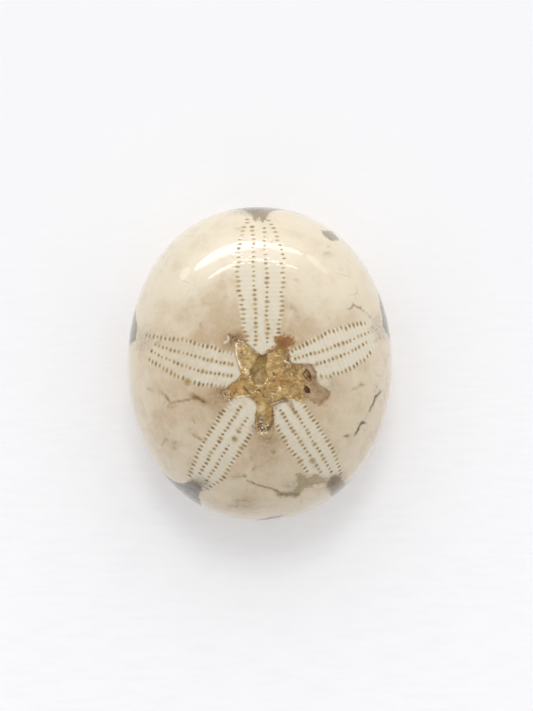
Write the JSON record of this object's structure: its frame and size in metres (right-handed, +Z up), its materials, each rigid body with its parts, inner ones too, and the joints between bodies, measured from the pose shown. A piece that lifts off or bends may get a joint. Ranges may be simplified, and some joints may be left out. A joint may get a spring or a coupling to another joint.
{
  "type": "fossil sea urchin",
  "caption": "Polished oval fossil sea urchin: a domed stone test with petals of small pore pits around a star-shaped scar of honey calcite, ground flat underneath to rest.",
  "frame": {"origin": "middle of the flat base, under the centre of the oval", "axes": "+Y to the front of the animal, along the oval's length; +Z up, out of the dome"},
  "size_m": [0.032, 0.038, 0.019],
  "materials": {
    "polished_test": "polished, glossy",
    "pore_fill": "satin",
    "honey_calcite": "rough crystal, glassy in places"
  },
  "bodies": {
    "root": {"sea_urchin": "polished_test"}
  },
  "joints": []
}
